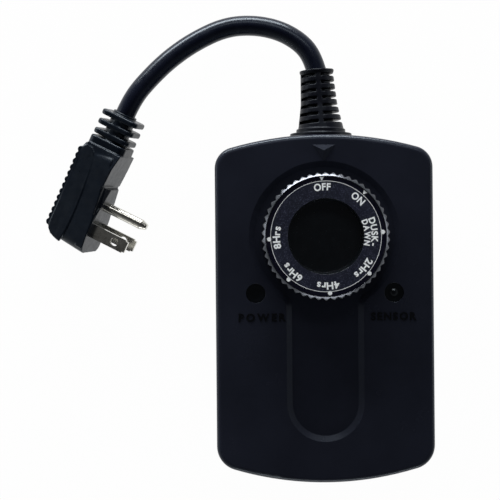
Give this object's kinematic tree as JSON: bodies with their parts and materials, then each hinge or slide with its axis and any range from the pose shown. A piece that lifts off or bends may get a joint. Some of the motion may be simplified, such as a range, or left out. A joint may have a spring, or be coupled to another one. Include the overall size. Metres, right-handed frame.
{
  "type": "outdoor timer",
  "caption": "Weatherproof outdoor timer: flat black case with a toothed selector dial, two outlets in its lower end and a short cord with a right-angle grounded plug.",
  "frame": {"origin": "centre of the case's back, which lies on the surface; the cord, its boot and plug are not counted", "axes": "+X across the case to the right as its face is read, +Y towards the cord end, +Z out of the face"},
  "size_m": [0.1777, 0.2141, 0.058],
  "materials": {
    "case_plastic": "fine moulded texture, satin black",
    "knob_plastic": "moulded black, slight sheen",
    "label_print": "dark printed label with white marks",
    "window_plastic": "smoked and polished",
    "seal_rubber": "plain",
    "boot_rubber": "matte moulded",
    "cord_jacket": "satin vinyl",
    "plug_vinyl": "satin vinyl",
    "plated_blade": "bright nickel plate",
    "contact_brass": "rolled strip",
    "screw_steel": "zinc plated",
    "board_laminate": "green solder mask",
    "component_black": "moulded",
    "component_blue": "dipped",
    "component_yellow": "moulded box",
    "component_tan": "lacquered",
    "can_sleeve": "shrink sleeve",
    "light_red": "clear red",
    "cell_face": "coated disc",
    "switch_nylon": "natural nylon",
    "outlet_plastic": "satin black",
    "wire_black": "insulation",
    "wire_white": "insulation",
    "wire_green": "insulation"
  },
  "bodies": {
    "case": {"front_shell": "case_plastic", "back_cover": "case_plastic", "case_gasket": "seal_rubber", "case_screws": "screw_steel", "shaft_seal": "seal_rubber", "shaft_bush": "switch_nylon", "switch_housing": "component_black", "switch_cover": "switch_nylon", "fixed_contacts": "contact_brass", "detent_spring": "screw_steel", "power_lens": "window_plastic", "sensor_lens": "window_plastic", "lens_seals": "seal_rubber", "power_led": "light_red", "photocell": "cell_face", "circuit_board": "board_laminate", "board_screws": "screw_steel", "relay": "component_black", "film_capacitor": "component_yellow", "smoothing_capacitors": "can_sleeve", "varistor": "component_blue", "controller_chip": "component_black", "board_fuse": "component_tan", "diodes": "component_black", "resistors": "component_tan", "relay_transistor": "component_black", "outlet_face": "outlet_plastic", "outlet_base": "outlet_plastic", "outlet_screws": "screw_steel", "hot_contacts": "contact_brass", "neutral_contacts": "contact_brass", "ground_contacts": "contact_brass", "cord_tail": "cord_jacket", "power_cord": "cord_jacket", "strain_relief_boot": "boot_rubber", "cord_clamp": "switch_nylon", "cord_clamp_screws": "screw_steel", "wire_terminals": "contact_brass", "hot_wire": "wire_black", "switched_wire": "wire_black", "neutral_wire": "wire_white", "ground_wire": "wire_green", "plug_body": "plug_vinyl", "plug_core": "component_black", "neutral_blade": "plated_blade", "line_blade": "plated_blade", "ground_pin": "plated_blade"},
    "selector": {"selector_knob": "knob_plastic", "dial_label": "label_print", "switch_shaft": "switch_nylon", "switch_rotor": "switch_nylon", "wiper_contact": "contact_brass"}
  },
  "joints": [
    {"name": "selector_turn", "type": "hinge", "parent": "case", "child": "selector", "pos_m": [0, 0.0322, 0.044], "axis": [0, 0, 1], "range_deg": [-3.5, 266.5]}
  ]
}
